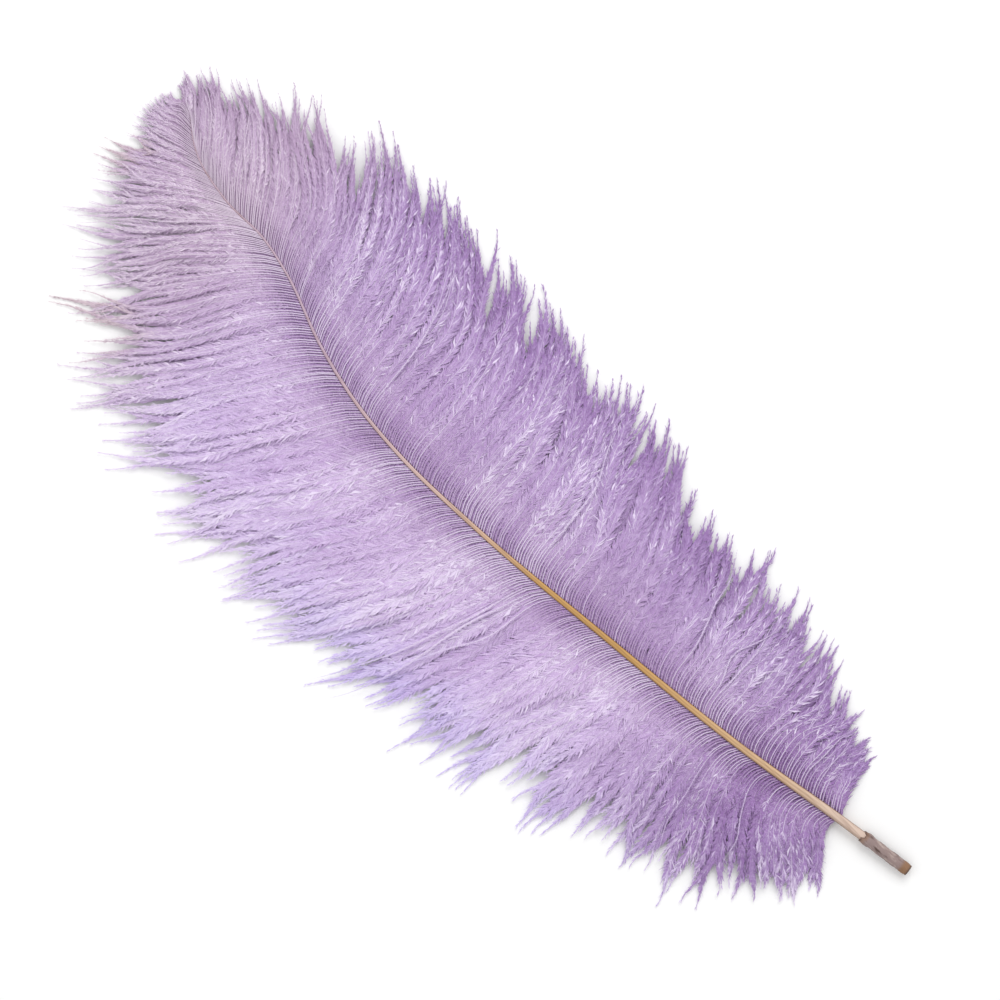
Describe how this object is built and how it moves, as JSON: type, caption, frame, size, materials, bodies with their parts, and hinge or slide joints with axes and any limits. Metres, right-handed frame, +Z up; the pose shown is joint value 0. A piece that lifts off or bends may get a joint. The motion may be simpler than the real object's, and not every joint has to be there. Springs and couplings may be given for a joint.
{
  "type": "ostrich feather",
  "caption": "Lavender-dyed ostrich plume lying flat: a tapering horn shaft with a cut quill and a soft drooping vane of parted locks on each side.",
  "frame": {"origin": "under the middle of the feather's outline, on the surface that it lies on", "axes": "+X from the cut quill end towards the tip, +Y towards the wider vane, +Z up out of the surface"},
  "size_m": [0.3382, 0.1356, 0.0086],
  "materials": {
    "vane": "soft dyed down, lavender, paler and greyer beside the shaft",
    "shaft": "smooth amber horn, cream towards the quill, satin",
    "quill": "dry grey-brown papery sheath over horn"
  },
  "bodies": {
    "root": {"feather": "vane"}
  },
  "joints": []
}
